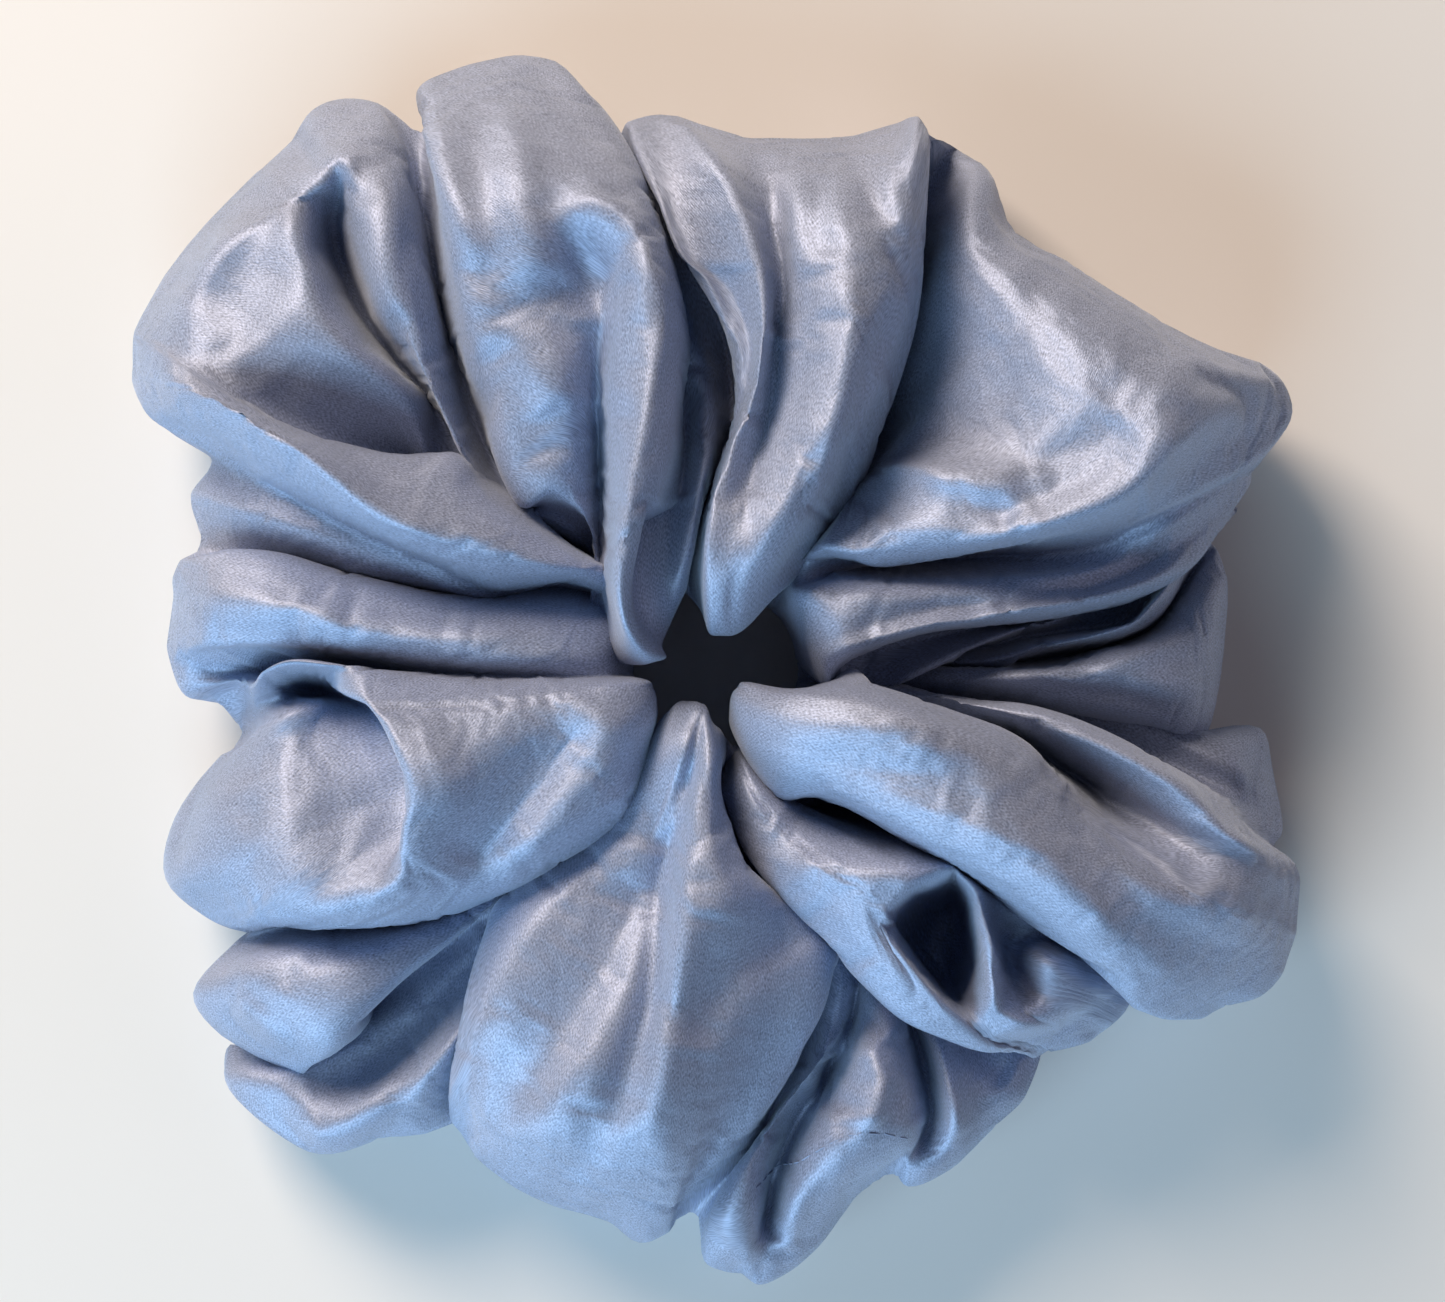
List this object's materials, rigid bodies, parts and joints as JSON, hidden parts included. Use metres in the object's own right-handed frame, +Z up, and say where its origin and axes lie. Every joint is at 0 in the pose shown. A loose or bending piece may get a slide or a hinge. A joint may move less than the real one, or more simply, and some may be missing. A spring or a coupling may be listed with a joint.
{
  "type": "scrunchie",
  "caption": "Oversized satin scrunchie: a wide fabric tube gathered in deep soft folds on a loop of flat elastic, lying flat with its small hair opening facing up.",
  "frame": {"origin": "on the axis of the hair opening, at the surface that the scrunchie rests on, below the middle of its outline", "axes": "+Z up, along the axis of the hair opening; +X and +Y lie in the surface that it rests on"},
  "size_m": [0.1498, 0.1594, 0.0482],
  "materials": {
    "satin": "satin weave, dusty blue",
    "elastic": "braided, matt",
    "elastic_thread": "spun thread",
    "cover_thread": "spun thread"
  },
  "bodies": {
    "root": {"satin_cover": "satin", "elastic_band": "elastic", "elastic_join_stitches": "elastic_thread", "long_seam_stitches": "cover_thread", "closing_seam_stitches": "cover_thread"}
  },
  "joints": []
}
